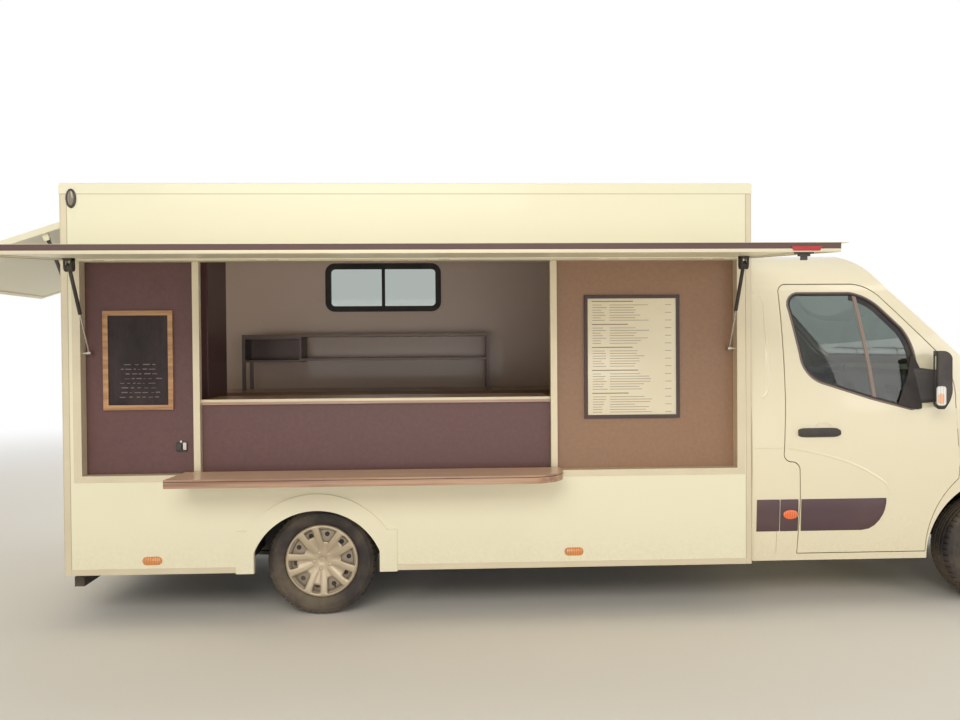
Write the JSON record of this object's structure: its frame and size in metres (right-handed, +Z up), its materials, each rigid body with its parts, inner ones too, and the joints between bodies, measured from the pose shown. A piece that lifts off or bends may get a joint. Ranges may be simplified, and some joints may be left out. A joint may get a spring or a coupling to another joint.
{
  "type": "food truck",
  "caption": "Van cab with a white box body whose side opens on gas struts over a serving shelf, kitchen inside.",
  "frame": {"origin": "on the ground under the middle of the vehicle's overall box, flap, shelf and hatch open", "axes": "+X forward, +Y to the vehicle's left, +Z up"},
  "size_m": [7.7634, 3.6192, 2.7398],
  "materials": {
    "body_panel": "gloss white laminate panel",
    "cab_paint": "gloss off-white paint",
    "edge_metal": "satin extruded profile",
    "dark_panel": "dark satin laminate",
    "counter": "varnished brown board",
    "steel": "brushed",
    "frame_black": "matt black chassis coating",
    "cast": "bare casting",
    "silver_trim": "silver painted",
    "tyre": "black rubber",
    "rubber": "black seal",
    "glass": "tinted clear",
    "black_plastic": "grained black",
    "amber_lens": "amber lens",
    "red_lens": "red lens",
    "clear_lens": "clear lens over reflector",
    "seat_cloth": "woven cloth",
    "red_black": "red wedge pads with black handle"
  },
  "bodies": {
    "truck": {"arch_trims": "body_panel", "box_floor": "body_panel", "box_rear_frame": "body_panel", "box_roof": "body_panel", "box_wall_front": "body_panel", "box_wall_left": "body_panel", "box_wall_right": "body_panel", "cab_shell": "cab_paint", "chassis_frame": "frame_black", "dashboard": "black_plastic", "edge_profiles": "edge_metal", "engine_block": "cast", "front_bumper": "cab_paint", "grille": "black_plastic", "headlamps": "clear_lens", "marker_lamps": "amber_lens", "opening_frame": "edge_metal", "rear_axle": "frame_black", "rear_lamps": "red_lens", "seats": "seat_cloth", "service_panels": "dark_panel", "side_window": "rubber", "side_window_glass": "glass", "tall_cupboard": "dark_panel", "wall_shelf": "steel", "windscreen": "glass", "worktops": "counter"},
    "side_flap": {"side_flap": "body_panel", "flap_latches": "red_black"},
    "flap_cylinders": {"flap_cylinders": "black_plastic"},
    "flap_rods": {"flap_rods": "steel"},
    "rear_hatch": {"rear_hatch": "body_panel"},
    "hatch_cylinders": {"hatch_cylinders": "black_plastic"},
    "hatch_rods": {"hatch_rods": "steel"},
    "rear_half_door": {"rear_half_door": "body_panel"},
    "serving_shelf": {"serving_shelf": "counter"},
    "service_door": {"service_door": "dark_panel"},
    "cab_door_right": {"door_right": "cab_paint", "door_glass_right": "glass", "mirror_right": "black_plastic"},
    "cab_door_left": {"door_left": "cab_paint", "door_glass_left": "glass", "mirror_left": "black_plastic"},
    "bonnet": {"bonnet": "cab_paint"},
    "steering_wheel": {"steering_wheel": "black_plastic"},
    "knuckle_right": {"knuckle_right": "cast"},
    "knuckle_left": {"knuckle_left": "cast"},
    "wheel_front_right": {"tyre_front_right": "tyre", "wheel_front_right": "silver_trim"},
    "wheel_front_left": {"tyre_front_left": "tyre", "wheel_front_left": "silver_trim"},
    "wheel_rear_right": {"tyre_rear_right": "tyre", "wheel_rear_right": "silver_trim"},
    "wheel_rear_left": {"tyre_rear_left": "tyre", "wheel_rear_left": "silver_trim"}
  },
  "joints": [
    {"name": "steer_left", "type": "hinge", "parent": "truck", "child": "knuckle_left", "pos_m": [3.0397, 1.37313, 0.34], "axis": [0, 0, 1], "range_deg": [-35, 35]},
    {"name": "steer_right", "type": "hinge", "parent": "truck", "child": "knuckle_right", "pos_m": [3.0397, -0.25687, 0.34], "axis": [0, 0, 1], "range_deg": [-35, 35]},
    {"name": "steering_wheel_turn", "type": "hinge", "parent": "truck", "child": "steering_wheel", "pos_m": [2.3817, 1.02813, 1.232], "axis": [-0.7071, 0, 0.7071], "range_deg": [-490.5, 490.5]},
    {"name": "spin_front_right", "type": "hinge", "parent": "knuckle_right", "child": "wheel_front_right", "pos_m": [3.0397, -0.31687, 0.34], "axis": [0, 1, 0], "continuous": true},
    {"name": "spin_front_left", "type": "hinge", "parent": "knuckle_left", "child": "wheel_front_left", "pos_m": [3.0397, 1.43313, 0.34], "axis": [0, 1, 0], "continuous": true},
    {"name": "spin_rear_right", "type": "hinge", "parent": "truck", "child": "wheel_rear_right", "pos_m": [-1.2923, -0.30687, 0.34], "axis": [0, 1, 0], "continuous": true},
    {"name": "spin_rear_left", "type": "hinge", "parent": "truck", "child": "wheel_rear_left", "pos_m": [-1.2923, 1.42313, 0.34], "axis": [0, 1, 0], "continuous": true},
    {"name": "cab_door_right", "type": "hinge", "parent": "truck", "child": "cab_door_right", "pos_m": [2.7557, -0.47777, 0.87], "axis": [-0.0488, 0.0228, 0.9986], "range_deg": [0, 70]},
    {"name": "cab_door_left", "type": "hinge", "parent": "truck", "child": "cab_door_left", "pos_m": [2.7557, 1.59403, 0.87], "axis": [0.0488, 0.0228, -0.9986], "range_deg": [0, 70]},
    {"name": "bonnet_lift", "type": "hinge", "parent": "truck", "child": "bonnet", "pos_m": [2.9297, 0.55813, 1.503], "axis": [0, -1, 0], "range_deg": [0, 60]},
    {"name": "side_flap_lift", "type": "hinge", "parent": "truck", "child": "side_flap", "pos_m": [-1.2923, -0.52487, 2.213], "axis": [-1, 0, 0], "range_deg": [-85.5, 0]},
    {"name": "flap_cylinder_swing", "type": "hinge", "parent": "side_flap", "child": "flap_cylinders", "pos_m": [-1.2923, -0.73567, 2.15127], "axis": [-1, 0, 0], "range_deg": [0, 112.45]},
    {"name": "flap_rod_slide", "type": "slide", "parent": "flap_cylinders", "child": "flap_rods", "axis": [0, 0.4602, -0.8878], "range_m": [-0.21685, 0]},
    {"name": "rear_hatch_lift", "type": "hinge", "parent": "truck", "child": "rear_hatch", "pos_m": [-2.8333, 0.55813, 2.438], "axis": [0, 1, 0], "range_deg": [-72, 0]},
    {"name": "hatch_cylinder_swing", "type": "hinge", "parent": "rear_hatch", "child": "hatch_cylinders", "pos_m": [-2.97206, 0.55813, 2.36347], "axis": [0, 1, 0], "range_deg": [0, 93.37]},
    {"name": "hatch_rod_slide", "type": "slide", "parent": "hatch_cylinders", "child": "hatch_rods", "axis": [0.3477, 0, -0.9376], "range_m": [-0.10977, 0]},
    {"name": "rear_half_door_swing", "type": "hinge", "parent": "truck", "child": "rear_half_door", "pos_m": [-2.8333, 1.50613, 0.9], "axis": [0, 0, -1], "range_deg": [0, 100]},
    {"name": "serving_shelf_fold", "type": "hinge", "parent": "truck", "child": "serving_shelf", "pos_m": [-1.2923, -0.53687, 0.871], "axis": [-1, 0, 0], "range_deg": [-90, 0]},
    {"name": "service_door_swing", "type": "hinge", "parent": "truck", "child": "service_door", "pos_m": [-2.7343, -0.42987, 1.5], "axis": [0, 0, 1], "range_deg": [0, 85]}
  ],
  "couplings": [
    {"joint": "steer_right", "follows": "steer_left", "ratio": 1},
    {"joint": "steering_wheel_turn", "follows": "steer_left", "ratio": 14},
    {"joint": "flap_cylinder_swing", "follows": "side_flap_lift", "ratio": -1.3147},
    {"joint": "flap_rod_slide", "follows": "side_flap_lift", "m_per_rad": 0.14498},
    {"joint": "hatch_cylinder_swing", "follows": "rear_hatch_lift", "ratio": -1.2961},
    {"joint": "hatch_rod_slide", "follows": "rear_hatch_lift", "m_per_rad": 0.086956}
  ]
}
